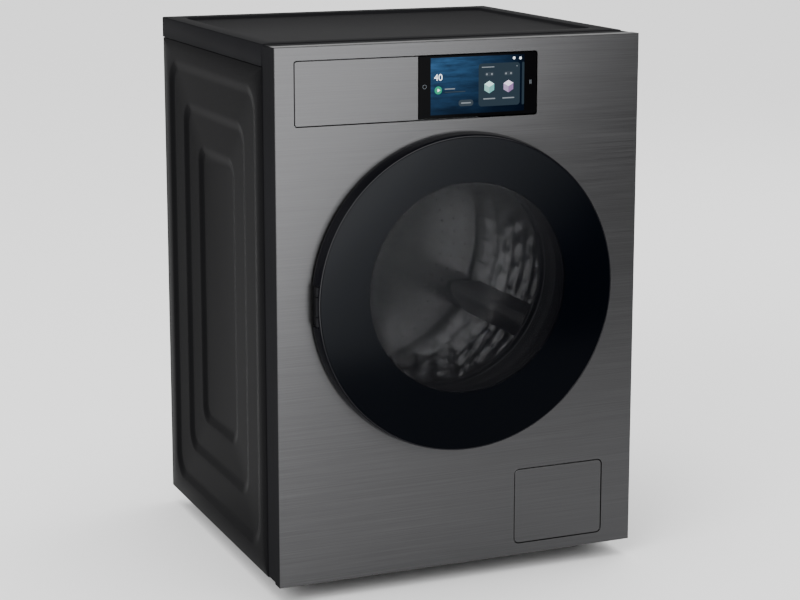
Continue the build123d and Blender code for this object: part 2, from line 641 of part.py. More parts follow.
with BuildPart() as hinge_pin:
    with Locations((HINGE_X, HINGE_Y, DOOR_Z)):
        Cylinder(PIN_R, 60)
write(hinge_pin, "hinge_pin")

with BuildPart() as hinge_bracket:
    block(-264, -216, FACE + SHEET, FACE + 4.2, DOOR_Z - 40, DOOR_Z + 40)
    for z in (DOOR_Z - 23, DOOR_Z + 23):
        block(HINGE_X, HINGE_X + 4, HINGE_Y, FACE + SHEET, z - 7, z + 7)
        with Locations((HINGE_X, HINGE_Y, z)):
            Cylinder(KNUCKLE_R, 14)
            Cylinder(PIN_R + RUNNING, 16, mode=Mode.SUBTRACT)
write(hinge_bracket, "hinge_bracket")

with BuildPart() as door_hook:
    with Locations((HOOK_X, -279, DOOR_Z)):
        Cylinder(4, 10)
    block(HOOK_X - 2, HOOK_X + 2, -279, -247, DOOR_Z - 5, DOOR_Z + 5)
    block(HOOK_X + 2, HOOK_X + 6.5, -252, -247, DOOR_Z - 5, DOOR_Z + 5)
write(door_hook, "door_hook")

with BuildPart() as door_lock:
    block(192, 222, FACE + SHEET, -236, DOOR_Z - 30, DOOR_Z + 30)
    block(HOOK_X - 9, HOOK_X + 9, FACE, -241, DOOR_Z - 14, DOOR_Z + 14, Mode.SUBTRACT)
write(door_lock, "door_lock")

with BuildPart() as door_gasket:
    turned([(165, -266), (180, -268.7), (180, -266.2), (176, -264), (176, -246), (184, -240),
            (184, -228), (177, -222), (177, -206), (175, -206), (175, -223), (181.5, -229),
            (181.5, -239), (173.5, -245), (173.5, -262), (166, -263.6)])
write(door_gasket, "door_gasket")
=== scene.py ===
"""Looks of a front loading washing machine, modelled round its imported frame."""

import json
from math import cos, pi, radians, sin, tau

import bmesh
import bpy
from mathutils import Matrix, Vector


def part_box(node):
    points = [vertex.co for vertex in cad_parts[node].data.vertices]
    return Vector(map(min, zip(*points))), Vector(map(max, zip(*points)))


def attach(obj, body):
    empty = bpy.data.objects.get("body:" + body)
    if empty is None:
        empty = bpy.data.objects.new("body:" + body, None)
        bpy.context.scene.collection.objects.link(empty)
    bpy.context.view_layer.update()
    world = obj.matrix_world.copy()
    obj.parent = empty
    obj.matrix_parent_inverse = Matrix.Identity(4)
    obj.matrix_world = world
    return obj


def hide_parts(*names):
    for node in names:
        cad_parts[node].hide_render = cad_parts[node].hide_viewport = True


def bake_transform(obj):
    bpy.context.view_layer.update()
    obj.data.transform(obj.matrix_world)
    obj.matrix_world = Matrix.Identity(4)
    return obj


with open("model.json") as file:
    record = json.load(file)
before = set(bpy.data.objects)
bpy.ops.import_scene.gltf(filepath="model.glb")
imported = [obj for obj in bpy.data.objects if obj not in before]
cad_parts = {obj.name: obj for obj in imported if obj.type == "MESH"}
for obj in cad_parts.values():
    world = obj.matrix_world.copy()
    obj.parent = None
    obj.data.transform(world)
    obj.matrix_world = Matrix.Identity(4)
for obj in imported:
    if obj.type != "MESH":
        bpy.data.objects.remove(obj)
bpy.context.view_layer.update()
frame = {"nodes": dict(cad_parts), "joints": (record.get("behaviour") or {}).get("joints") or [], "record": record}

bl_info = {
    "name": "Front Loading Washer",
    "version": (1, 0, 0),
    "blender": (4, 5, 0),
    "location": "View3D > Sidebar > Washer",
    "description": "Models the visible shells, door, display and drum of a washing machine",
    "category": "Object",
}

MM = 0.001
CORNER_STEPS = 8
ROUND = 160
JOINTS = {joint["name"]: joint for joint in frame["joints"]}
DRUM_Z = JOINTS["drum_spin"]["pos_m"][2]
DOOR_FRONT_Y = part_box("door_glass")[0][1]
DOOR_Z = (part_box("door_glass")[0][2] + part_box("door_glass")[1][2]) / 2
FACING_FRONT = (pi / 2, 0, 0)
FACING_SIDE = (0, pi / 2, 0)
FLAT = (0, 0, 0)

# The pressed steps of a side panel.
PRESS_STEPS = 3
PRESS_SIZE = (447 * MM, 731.5 * MM)
PRESS_MIDDLE = (40.5 * MM, 421.25 * MM)
PRESS_INSET = 64.5 * MM
PRESS_CORNER = 44 * MM
PRESS_FALL = 0.3 * MM
SLOPE_ROWS = 8

# The sunken field of the top cover.
FIELD_DEEP = 437 * MM
FIELD_MIDDLE = (0, 47.5 * MM)
FIELD_SLOPE = 9 * MM
FIELD_CORNER = 16 * MM

# The drum's wall, in millimetres, and its pillows.
DRUM_OUTER = 236
DRUM_INNER = 235
WALL_START = -182
WALL_LENGTH = 320
WALL_ROWS = 48
PILLOW_ROWS = 8
PILLOWS_AROUND = 36
PILLOW_REACH = 0.9
PILLOW_HEIGHT = 3.2 * MM
HOLE_PITCH = 6.2 * MM
ROW_PITCH = 80 * MM
BACK_HOLE_RINGS = (150, 172, 194)
BACK_HOLES_AROUND = 48


# ---------------------------------------------------------------- settings


class WasherCabinetSettings(bpy.types.PropertyGroup):
    """Sizes and colours of the cabinet's shells."""

    steel_colour: bpy.props.FloatVectorProperty(
        name="Brushed steel", description="Colour of the front panel", default=(0.058, 0.058, 0.0596),
        subtype="COLOR", size=3)
    steel_roughness: bpy.props.FloatProperty(
        name="Steel roughness", description="How soft the brushed steel's highlights are",
        default=0.34, subtype="FACTOR")
    paint_colour: bpy.props.FloatVectorProperty(
        name="Paint", description="Colour of the side panels and the top cover",
        default=(0.0084, 0.0084, 0.0093), subtype="COLOR", size=3)
    emboss_depth: bpy.props.FloatProperty(
        name="Embossing depth", description="How far each nested step of a side panel is pressed in",
        default=4.0 * MM, unit="LENGTH")
    emboss_slope: bpy.props.FloatProperty(
        name="Embossing slope", description="Width of each pressed step's sloping edge",
        default=22.0 * MM, unit="LENGTH")
    rim_width: bpy.props.FloatProperty(
        name="Rim width", description="Width of the raised rim at the sides of the top cover",
        default=27.0 * MM, unit="LENGTH")
    field_depth: bpy.props.FloatProperty(
        name="Field depth", description="How far the top cover's field lies below its rim",
        default=4.0 * MM, unit="LENGTH")


class WasherDoorSettings(bpy.types.PropertyGroup):
    """Sizes and colours of the door."""

    window_radius: bpy.props.FloatProperty(
        name="Window radius", description="Radius of the clear window in the door's glass",
        default=163.0 * MM, unit="LENGTH")
    glass_colour: bpy.props.FloatVectorProperty(
        name="Glass", description="Colour printed behind the door's glass",
        default=(0.0002, 0.0004, 0.0009), subtype="COLOR", size=3)
    window_cover: bpy.props.FloatProperty(
        name="Window tint", description="How much of what is behind the window its tint hides",
        default=0.50, subtype="FACTOR")


class WasherDrumSettings(bpy.types.PropertyGroup):
    """Sizes of the drum's pattern."""

    hole_radius: bpy.props.FloatProperty(
        name="Hole radius", description="Radius of the drum's drain holes", default=1.9 * MM, unit="LENGTH")
    hole_rows: bpy.props.IntProperty(
        name="Hole rows", description="Drain holes in each short row", default=6)
    hole_columns: bpy.props.IntProperty(
        name="Hole columns", description="Short rows of holes around the drum", default=36)


class WasherStageSettings(bpy.types.PropertyGroup):
    """Floor and light."""

    floor_colour: bpy.props.FloatVectorProperty(
        name="Floor", description="Colour of the floor", default=(0.86, 0.86, 0.86), subtype="COLOR", size=3)
    sky: bpy.props.FloatProperty(name="Sky", description="Strength of the light all round", default=0.85)
    key: bpy.props.FloatProperty(
        name="Key light", description="Power of the large light over the front", default=210.0,
        subtype="POWER")
    wash: bpy.props.FloatProperty(
        name="Floor wash", description="Strength of the even light that only the floor takes", default=3.0)
    softbox: bpy.props.FloatProperty(
        name="Softbox", description="Strength of the panel that the door's glass mirrors", default=20.0)
    card: bpy.props.FloatProperty(
        name="Card light", description="Power of the light that the steel mirrors", default=54.0,
        subtype="POWER")


# ---------------------------------------------------------------- materials

MATERIALS = {}


def surface(name, colour, roughness, metallic=0.0, **sockets):
    """Adds a material and returns its tree and shader. Extra words are the shader's own sockets."""
    material = bpy.data.materials.new(name)
    material.use_nodes = True
    shader = material.node_tree.nodes["Principled BSDF"]
    shader.inputs["Base Color"].default_value = (*colour, 1.0)
    shader.inputs["Roughness"].default_value = roughness
    shader.inputs["Metallic"].default_value = metallic
    for socket, value in sockets.items():
        shader.inputs[socket.replace("_", " ")].default_value = value
    MATERIALS[name] = material
    return material.node_tree, shader


def place(tree, scale=(1, 1, 1), offset=(0, 0, 0)):
    """Object coordinates, moved and scaled."""
    where = tree.nodes.new("ShaderNodeTexCoord")
    mapping = tree.nodes.new("ShaderNodeMapping")
    mapping.inputs["Location"].default_value = offset
    mapping.inputs["Scale"].default_value = scale
    tree.links.new(where.outputs["Object"], mapping.inputs["Vector"])
    return mapping.outputs["Vector"]


def noise(tree, scale, detail=3.0, stretch=(1, 1, 1), roughness=0.55):
    """A noise value between 0 and 1, its scale in waves a metre."""
    texture = tree.nodes.new("ShaderNodeTexNoise")
    texture.inputs["Scale"].default_value = scale
    texture.inputs["Detail"].default_value = detail
    texture.inputs["Roughness"].default_value = roughness
    tree.links.new(place(tree, stretch), texture.inputs["Vector"])
    return texture.outputs["Fac"]


def spread(tree, value, low, high, start=0.3, end=0.7):
    """The value between start and end, mapped to low and high."""
    node = tree.nodes.new("ShaderNodeMapRange")
    node.inputs["From Min"].default_value = start
    node.inputs["From Max"].default_value = end
    node.inputs["To Min"].default_value = low
    node.inputs["To Max"].default_value = high
    tree.links.new(value, node.inputs["Value"])
    return node.outputs["Result"]


def between(tree, value, first, second):
    """A colour between two, chosen by the value."""
    node = tree.nodes.new("ShaderNodeMix")
    node.data_type = "RGBA"
    node.inputs["A"].default_value = (*first, 1.0)
    node.inputs["B"].default_value = (*second, 1.0)
    tree.links.new(value, node.inputs["Factor"])
    return node.outputs["Result"]


def calculate(tree, operation, first, second=0.0):
    """The result of a math node on two values or sockets."""
    node = tree.nodes.new("ShaderNodeMath")
    node.operation = operation
    for socket, value in zip(node.inputs, (first, second)):
        if isinstance(value, (int, float)):
            socket.default_value = value
        else:
            tree.links.new(value, socket)
    return node.outputs[0]


def bumps(tree, shader, value, strength, distance):
    """Lets the value raise the surface."""
    node = tree.nodes.new("ShaderNodeBump")
    node.inputs["Strength"].default_value = strength
    node.inputs["Distance"].default_value = distance
    tree.links.new(value, node.inputs["Height"])
    tree.links.new(node.outputs["Normal"], shader.inputs["Normal"])


def shades(colour, low, high):
    """A darker and a lighter shade of a colour."""
    return tuple(c * low for c in colour), tuple(c * high for c in colour)


def brushed(name, colour, roughness, stretch, contrast=0.10, anisotropy=0.5):
    """Metal with fine brush lines along the axis that the stretch leaves long."""
    tree, shader = surface(name, colour, roughness, 1.0, Anisotropic=anisotropy, Anisotropic_Rotation=0.25)
    lines = noise(tree, 1.0, 5.0, stretch, 0.75)
    tree.links.new(between(tree, spread(tree, lines, 0, 1), *shades(colour, 1 - contrast, 1 + contrast)),
                   shader.inputs["Base Color"])
    tree.links.new(spread(tree, lines, roughness - 0.05, roughness + 0.05), shader.inputs["Roughness"])
    bumps(tree, shader, lines, 0.12, 0.0001)


def grained(name, colour, roughness, scale, strength, metallic=0.0, contrast=0.06, **sockets):
    """A moulded, painted or cast surface with a fine grain and a slight unevenness of colour."""
    tree, shader = surface(name, colour, roughness, metallic, **sockets)
    grain = noise(tree, scale, 3.0)
    cloud = noise(tree, 6.0, 2.0)
    tree.links.new(between(tree, spread(tree, cloud, 0, 1), *shades(colour, 1 - contrast, 1 + contrast)),
                   shader.inputs["Base Color"])
    tree.links.new(spread(tree, grain, roughness - 0.04, roughness + 0.04), shader.inputs["Roughness"])
    bumps(tree, shader, grain, strength, 0.0003)


def clear(name, colour, cover, roughness=0.02, **sockets):
    """Thin glass that hides part of what is behind it, with faint dust in its gloss."""
    tree, shader = surface(name, colour, roughness, 0.0, Alpha=cover, **sockets)
    dust = noise(tree, 40.0, 4.0)
    tree.links.new(spread(tree, dust, roughness, roughness + 0.03), shader.inputs["Roughness"])


def gloss(name, colour, roughness, **sockets):
    """A polished surface, with the slight waviness of moulding or of float glass."""
    tree, shader = surface(name, colour, roughness, 0.0, **sockets)
    wave = noise(tree, 9.0, 1.0)
    tree.links.new(spread(tree, wave, roughness, roughness + 0.02), shader.inputs["Roughness"])
    bumps(tree, shader, wave, 0.02, 0.0006)


def glowing(name, colour, strength):
    """A lit part of the display."""
    surface(name, (0.0, 0.0, 0.0), 0.25, Emission_Color=(*colour, 1.0), Emission_Strength=strength,
            Specular_IOR_Level=0.01)


def seascape(name):
    """The display's background: a dim blue sea under a lighter sky, darker to the right."""
    tree, shader = surface(name, (0.0, 0.0, 0.0), 0.2, Specular_IOR_Level=0.01)
    waves = noise(tree, 1.0, 5.0, (26, 1, 150), 0.6)
    split = tree.nodes.new("ShaderNodeSeparateXYZ")
    tree.links.new(place(tree), split.inputs["Vector"])
    screen_low, screen_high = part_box("display_screen")
    across = spread(tree, split.outputs["X"], 0.85, 0.0, screen_low[0], screen_high[0])
    up = spread(tree, split.outputs["Z"], 0.15, 1.0, screen_low[2], screen_high[2])
    light = calculate(tree, "MULTIPLY", across, up)
    crest = spread(tree, waves, 0.45, 1.5)
    level = calculate(tree, "MULTIPLY", light, crest)
    colour = between(tree, level, (0.001, 0.004, 0.012), (0.038, 0.120, 0.270))
    tree.links.new(colour, shader.inputs["Emission Color"])
    shader.inputs["Emission Strength"].default_value = 1.0


def circuit_board(name):
    """Green board, with dark parts where it stands proud."""
    tree, shader = surface(name, (0.02, 0.12, 0.06), 0.4)
    split = tree.nodes.new("ShaderNodeSeparateXYZ")
    tree.links.new(place(tree), split.inputs["Vector"])
    raised = calculate(tree, "GREATER_THAN", split.outputs["Y"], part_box("main_control_board")[0][1] + 11 * MM)
    colour = between(tree, raised, (0.012, 0.10, 0.045), (0.02, 0.02, 0.022))
    tree.links.new(colour, shader.inputs["Base Color"])
    bumps(tree, shader, noise(tree, 900.0), 0.2, 0.0002)


def make_materials(cabinet, door):
    """Every finish of the machine, by name."""
    brushed("brushed_steel", cabinet.steel_colour, cabinet.steel_roughness, (5, 40, 900), 0.16)
    brushed("drum_steel", (0.46, 0.46, 0.47), 0.20, (90, 14, 90), 0.05, 0.2)
    grained("satin_paint", cabinet.paint_colour, 0.34, 1600.0, 0.10, Specular_IOR_Level=0.0012)
    # The side panels take the top cover's paint darkened to 0.45 of its colour: painted shade, so the sides read
    # darker than the top.
    grained("side_paint_painted_shade", shades(cabinet.paint_colour, 0.45, 1.0)[0], 0.26, 1600.0, 0.10,
            Specular_IOR_Level=0.0035)
    grained("galvanised", (0.42, 0.43, 0.44), 0.38, 55.0, 0.05, 1.0, 0.14)
    grained("black_plastic", (0.012, 0.012, 0.013), 0.46, 1500.0, 0.14)
    grained("grey_plastic", (0.30, 0.31, 0.32), 0.50, 1200.0, 0.12)
    grained("white_plastic", (0.66, 0.67, 0.68), 0.36, 1200.0, 0.08)
    grained("lifter_plastic", (0.34, 0.34, 0.35), 0.32, 1200.0, 0.08)
    grained("rubber", (0.070, 0.072, 0.076), 0.62, 800.0, 0.20)
    grained("plain_steel", (0.46, 0.46, 0.47), 0.30, 300.0, 0.06, 1.0)
    grained("cast_aluminium", (0.66, 0.67, 0.69), 0.46, 700.0, 0.35, 1.0)
    grained("cast_iron", (0.075, 0.074, 0.072), 0.72, 420.0, 0.60, 0.3, 0.12)
    gloss("gloss_black", (0.002, 0.002, 0.003), 0.14, Specular_IOR_Level=0.12)
    gloss("black_glass", door.glass_colour, 0.12, Specular_IOR_Level=0.022)
    gloss("bezel_glass", (0.001, 0.001, 0.0012), 0.10, Specular_IOR_Level=0.012)
    clear("smoked_window", (0.001, 0.001, 0.0015), door.window_cover, 0.10, Specular_IOR_Level=0.04)
    clear("bowl_glass", (0.03, 0.032, 0.035), 0.09, 0.03, Specular_IOR_Level=1.0)
    # Painted shade for the drain holes: a dark gloss sheet in the middle of each hole stands for the hole's
    # opening.
    gloss("painted_hole_shade", (0.004, 0.004, 0.004), 0.5)
    seascape("seascape")
    circuit_board("circuit_board")
    glowing("lit_white", (0.86, 0.90, 0.95), 2.4)
    glowing("lit_soft", (0.34, 0.38, 0.42), 0.9)
    glowing("lit_dim", (0.055, 0.075, 0.095), 0.9)
    glowing("lit_card", (0.030, 0.050, 0.070), 0.9)
    glowing("lit_green", (0.045, 0.55, 0.30), 0.8)
    glowing("teal_light", (0.66, 0.95, 0.92), 1.5)
    glowing("teal_mid", (0.24, 0.70, 0.66), 0.9)
    glowing("teal_dark", (0.42, 0.86, 0.80), 0.9)
    glowing("violet_light", (0.88, 0.76, 0.95), 1.5)
    glowing("violet_mid", (0.42, 0.24, 0.50), 0.9)
    glowing("violet_dark", (0.62, 0.46, 0.74), 0.9)


SLOT_MATERIALS = {
    "stainless": "brushed_steel",
    "dark_steel": "satin_paint",
    "galvanised": "galvanised",
    "black_gloss": "gloss_black",
    "black_plastic": "black_plastic",
    "grey_plastic": "grey_plastic",
    "white_plastic": "white_plastic",
    "tinted_glass": "black_glass",
    "clear_glass": "bowl_glass",
    "screen": "seascape",
    "rubber": "rubber",
    "drum_steel": "drum_steel",
    "steel": "plain_steel",
    "aluminium": "cast_aluminium",
    "iron": "cast_iron",
    "board": "circuit_board",
}


# ---------------------------------------------------------------- modelling helpers


def start_piece(name):
    """A new object with an empty mesh, open in edit mode."""
    bpy.ops.object.select_all(action="DESELECT")
    piece = bpy.data.objects.new(name, bpy.data.meshes.new(name))
    bpy.context.scene.collection.objects.link(piece)
    bpy.context.view_layer.objects.active = piece
    piece.select_set(True)
    bpy.ops.object.mode_set(mode="EDIT")
    bpy.ops.mesh.select_mode(type="VERT")
    return piece


def end_piece(piece, *materials, smooth=35):
    """Turns the faces outwards, leaves edit mode and dresses the piece."""
    bpy.ops.mesh.select_all(action="SELECT")
    bpy.ops.mesh.normals_make_consistent(inside=False)
    bpy.ops.object.mode_set(mode="OBJECT")
    bpy.ops.object.shade_smooth_by_angle(angle=radians(smooth))
    for material in materials:
        piece.data.materials.append(MATERIALS[material])
    return piece


def pick(piece, numbers):
    """Selects just these vertices of the mesh in edit mode."""
    bpy.ops.mesh.select_all(action="DESELECT")
    mesh = bmesh.from_edit_mesh(piece.data)
    mesh.verts.ensure_lookup_table()
    for number in numbers:
        mesh.verts[number].select = True
    mesh.select_flush_mode()
    bmesh.update_edit_mesh(piece.data)


def outline(size, corner, centre, turn, square_left=False):
    """Adds a rounded rectangle of edges. The size is along the plane's own X and Y."""
    bpy.ops.mesh.select_all(action="DESELECT")
    bpy.ops.mesh.primitive_plane_add(size=1.0, location=centre, rotation=turn)
    along = {FLAT: (size[0], size[1], 1), FACING_FRONT: (size[0], 1, size[1]),
             FACING_SIDE: (1, size[0], size[1])}[turn]
    bpy.ops.transform.resize(value=along, center_override=centre)
    bpy.ops.mesh.bevel(offset=corner, segments=CORNER_STEPS, affect="VERTICES")
    if square_left:
        mesh = bmesh.from_edit_mesh(bpy.context.object.data)
        for vertex in mesh.verts:
            if vertex.select and vertex.co.x < centre[0]:
                vertex.co.x = centre[0] - size[0] / 2
                vertex.co.z = centre[2] + (size[1] if vertex.co.z > centre[2] else -size[1]) / 2
        bmesh.update_edit_mesh(bpy.context.object.data)
    bpy.ops.mesh.delete(type="ONLY_FACE")


def circle(radius, centre, turn, steps):
    """Adds a circle of edges."""
    bpy.ops.mesh.select_all(action="DESELECT")
    bpy.ops.mesh.primitive_circle_add(vertices=steps, radius=radius, location=centre, rotation=turn)


def skin(piece, count, first_cap=True):
    """Joins the loops added so far, in their order, and closes the last one, and the first one if asked."""
    total = len(bmesh.from_edit_mesh(piece.data).verts)
    size = total // count
    if size * count != total:
        raise RuntimeError(f"{piece.name}: {total} vertices do not make {count} equal loops")
    for low in range(0, total - size, size):
        pick(piece, range(low, low + 2 * size))
        bpy.ops.mesh.bridge_edge_loops()
    if first_cap:
        pick(piece, range(size))
        bpy.ops.mesh.edge_face_add()
    pick(piece, range(total - size, total))
    bpy.ops.mesh.edge_face_add()


def turned(name, profile, *materials, centre_z=DRUM_Z, closed=True, steps=ROUND, smooth=35):
    """A ring or a dish about a level axis, spun from (radius, depth) points in millimetres."""
    piece = start_piece(name)
    first = Vector((profile[0][0] * MM, profile[0][1] * MM, centre_z))
    bpy.ops.mesh.primitive_plane_add(size=0.01, location=first)
    bpy.ops.mesh.merge(type="CENTER")
    here = first
    for radius, depth in profile[1:]:
        there = Vector((radius * MM, depth * MM, centre_z))
        bpy.ops.mesh.extrude_region_move(TRANSFORM_OT_translate={"value": there - here})
        here = there
    if closed:
        pick(piece, (0, len(profile) - 1))
        bpy.ops.mesh.edge_face_add()
    bpy.ops.mesh.select_all(action="SELECT")
    bpy.ops.mesh.spin(steps=steps, angle=tau, center=(0, 0, centre_z), axis=(0, 1, 0))
    bpy.ops.mesh.select_all(action="SELECT")
    bpy.ops.mesh.remove_doubles(threshold=0.002 * MM)
    return end_piece(piece, *materials, smooth=smooth)


def plate(name, box, corner, *materials, edge=0.4, square_left=False):
    """A thin plate facing the front, from (x0, x1, y0, y1, z0, z1) in millimetres, its front edge eased."""
    x0, x1, y0, y1, z0, z1 = (value * MM for value in box)
    piece = start_piece(name)
    for inset, depth in ((0, y1), (0, y0 + edge * MM), (edge * MM, y0)):
        outline((x1 - x0 - 2 * inset, z1 - z0 - 2 * inset), max(corner * MM - inset, 0.1 * MM),
                ((x0 + x1) / 2, depth, (z0 + z1) / 2), FACING_FRONT, square_left)
    skin(piece, 3)
    bpy.ops.mesh.select_all(action="SELECT")
    bpy.ops.mesh.remove_doubles(threshold=0.002 * MM)
    return end_piece(piece, *materials)


def modify(piece, kind, **settings):
    """Adds a modifier to the piece and applies it."""
    modifier = piece.modifiers.new(kind.title(), kind)
    for setting, value in settings.items():
        setattr(modifier, setting, value)
    bpy.ops.object.select_all(action="DESELECT")
    bpy.context.view_layer.objects.active = piece
    piece.select_set(True)
    bpy.ops.object.modifier_apply(modifier=modifier.name)


def joined(name, pieces):
    """Makes one piece of several."""
    bpy.ops.object.select_all(action="DESELECT")
    for piece in pieces:
        piece.select_set(True)
    bpy.context.view_layer.objects.active = pieces[0]
    bpy.ops.object.join()
    pieces[0].name = name
    pieces[0].data.name = name
    return pieces[0]


def cut(piece, box):
    """Cuts a block, given as (x0, x1, y0, y1, z0, z1) in millimetres, out of the piece."""
    x0, x1, y0, y1, z0, z1 = (value * MM for value in box)
    bpy.ops.object.select_all(action="DESELECT")
    centre = ((x0 + x1) / 2, (y0 + y1) / 2, (z0 + z1) / 2)
    bpy.ops.mesh.primitive_cube_add(size=1.0, location=centre, scale=(x1 - x0, y1 - y0, z1 - z0))
    cutter = bpy.context.object
    bpy.ops.object.transform_apply(location=True, rotation=True, scale=True)
    modify(piece, "BOOLEAN", operation="DIFFERENCE", object=cutter, solver="EXACT")
    bpy.data.objects.remove(cutter)


def box_mm(node):
    """The low and high corners of a node's box, in millimetres."""
    return [tuple(value / MM for value in corner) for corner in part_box(node)]


def dress(piece, slot, *nodes):
    """Hides the CAD nodes that the piece stands for; the piece and its finish are not used."""
    if nodes:
        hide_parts(*nodes)


def bore(piece, radius, y0, y1):
    """Cuts a round hole about the drum's axis through the piece. Sizes in millimetres."""
    bpy.ops.object.select_all(action="DESELECT")
    bpy.ops.mesh.primitive_cylinder_add(vertices=192, radius=radius * MM, depth=(y1 - y0) * MM,
                                        location=(0, (y0 + y1) / 2 * MM, DRUM_Z), rotation=FACING_FRONT)
    cutter = bpy.context.object
    modify(piece, "BOOLEAN", operation="DIFFERENCE", object=cutter, solver="EXACT")
    bpy.data.objects.remove(cutter)


def settle(piece, body, slot, *nodes):
    """Lets the piece ride on a body and hides the CAD nodes that it stands for; the finish it is given is not
    used.
    """
    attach(piece, body)
    dress(piece, slot, *nodes)


def soften(node, width):
    """Rounds a CAD node's sharp edges with live modifiers."""
    piece = frame["nodes"][node]
    weld = piece.modifiers.new("Weld", "WELD")
    weld.merge_threshold = 0.002 * MM
    bevel = piece.modifiers.new("Bevel", "BEVEL")
    bevel.width = width
    bevel.segments = 2
    bevel.limit_method = "ANGLE"
    bevel.angle_limit = radians(40)
    bevel.harden_normals = True


def ease(step, steps):
    """A smooth rise from 0 to 1."""
    part = step / steps
    return part * part * (3 - 2 * part)


# ---------------------------------------------------------------- operators


class WASHER_OT_stage(bpy.types.Operator):
    """Adds the floor, the lights and the camera"""

    bl_idname = "washer.stage"
    bl_label = "Stage"

    def execute(self, context):
        stage = context.scene.washer_stage
        bpy.ops.object.select_all(action="DESELECT")
        bpy.ops.mesh.primitive_plane_add(size=60.0, location=(0, 0, 0))
        floor = context.object
        floor.name = "floor"
        tree, shader = surface("floor_finish", stage.floor_colour, 0.75, Specular_IOR_Level=0.1)
        bumps(tree, shader, noise(tree, 60.0), 0.02, 0.001)
        floor.data.materials.append(MATERIALS["floor_finish"])
        world = bpy.data.worlds.new("Studio")
        world.use_nodes = True
        world.node_tree.nodes["Background"].inputs["Color"].default_value = (1, 1, 1, 1)
        world.node_tree.nodes["Background"].inputs["Strength"].default_value = stage.sky
        context.scene.world = world
        for name, power, size, spot, aim in (
            ("key", stage.key, 3.2, (-3.6, -2.8, 2.6), (0, 0, 0.5)),
            ("fill", stage.key * 0.25, 2.5, (3.5, 1.5, 3.0), (0, 0, 0.5)),
        ):
            lamp = self.lamp(context, name, power, spot)
            lamp.data.size = size
            lamp.rotation_euler = (Vector(aim) - Vector(spot)).to_track_quat("-Z", "Y").to_euler()
        card = self.lamp(context, "card", stage.card, (-0.06, -1.6, 0.76))
        card.data.shape = "RECTANGLE"
        card.data.size = 2.0
        card.data.size_y = 1.2
        card.rotation_euler = (pi / 2, radians(-45), 0)
        card.visible_camera = False
        apart = bpy.data.collections.new("apart_from_card")
        apart.objects.link(floor)
        apart.collection_objects[0].light_linking.link_state = "EXCLUDE"
        card.light_linking.receiver_collection = apart
        self.floor_wash(context, floor, stage.wash)
        self.softbox(context, stage.softbox)
        bpy.ops.object.camera_add(
            location=(-1.3001, -3.1166, 1.1515),
            rotation=(radians(90 - 10.978), 0, radians(-22.815)))
        context.object.data.lens = 94.03
        context.object.data.shift_y = -0.075
        context.object.data.sensor_width = 36.0
        context.scene.camera = context.object
        return {"FINISHED"}

    def floor_wash(self, context, floor, strength):
        """Adds an even light from above that only the floor takes."""
        bpy.ops.object.light_add(type="SUN", location=(0, 0, 5))
        wash = context.object
        wash.name = "floor_wash"
        wash.data.energy = strength
        wash.data.angle = radians(60)
        only_floor = bpy.data.collections.new("floor_only")
        only_floor.objects.link(floor)
        wash.light_linking.receiver_collection = only_floor

    def softbox(self, context, strength):
        """Adds a panel that fades from its upper left to nothing, for the door's glass alone to mirror."""
        bpy.ops.object.select_all(action="DESELECT")
        bpy.ops.mesh.primitive_plane_add(size=1.8, location=(0.4, -1.62, 0.92), rotation=FACING_FRONT)
        panel = context.object
        bpy.ops.object.transform_apply(location=True, rotation=True, scale=True)
        panel.name = "softbox"
        tree, shader = surface("softbox_glow", (0, 0, 0), 1.0, Specular_IOR_Level=0.0)
        split = tree.nodes.new("ShaderNodeSeparateXYZ")
        tree.links.new(place(tree), split.inputs["Vector"])
        fall = calculate(tree, "SUBTRACT", split.outputs["X"], split.outputs["Z"])
        tree.links.new(spread(tree, fall, strength, 0.0, -0.10, 0.63), shader.inputs["Emission Strength"])
        shader.inputs["Emission Color"].default_value = (0.93, 0.96, 1.0, 1.0)
        panel.data.materials.append(MATERIALS["softbox_glow"])
        panel.visible_camera = False
        panel.visible_diffuse = False
        panel.visible_shadow = False
        panel.light_linking.receiver_collection = bpy.data.collections.new("softbox_takers")

    def lamp(self, context, name, power, spot):
        """Adds an area light."""
        bpy.ops.object.light_add(type="AREA", location=spot)
        context.object.name = name
        context.object.data.energy = power
        return context.object


class WASHER_OT_finishes(bpy.types.Operator):
    """Makes the materials and dresses the CAD nodes in them"""

    bl_idname = "washer.finishes"
    bl_label = "Finishes"

    def execute(self, context):
        make_materials(context.scene.washer_cabinet, context.scene.washer_door)
        for part in frame["record"]["subparts"]:
            node = frame["nodes"][part["node"]]
            node.data.materials.clear()
            node.data.materials.append(MATERIALS[SLOT_MATERIALS[part["material_slot"]]])
        frame["nodes"]["drum_lifters"].data.materials[0] = MATERIALS["lifter_plastic"]
        frame["nodes"]["front_frame"].data.materials[0] = MATERIALS["satin_paint"]
        # The front panel's turned-back edges are painted like the sides.
        front = frame["nodes"]["front_panel"].data
        front.materials.append(MATERIALS["satin_paint"])
        half_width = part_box("front_panel")[1][0]
        for polygon in front.polygons:
            on_side = abs(abs(polygon.center.x) - half_width) < 1.5 * MM and abs(polygon.normal.y) < 0.5
            polygon.material_index = int(on_side)
        for name, width in (("drum_lifters", 7.0), ("drawer_tray", 0.8), ("dispenser_housing", 0.8),
                            ("base_tray", 1.0), ("door_hook", 0.5), ("hinge_bracket", 0.5),
                            ("motor_body", 2.0), ("counterweight_top", 3.0), ("counterweight_front", 3.0)):
            soften(name, width * MM)
        return {"FINISHED"}


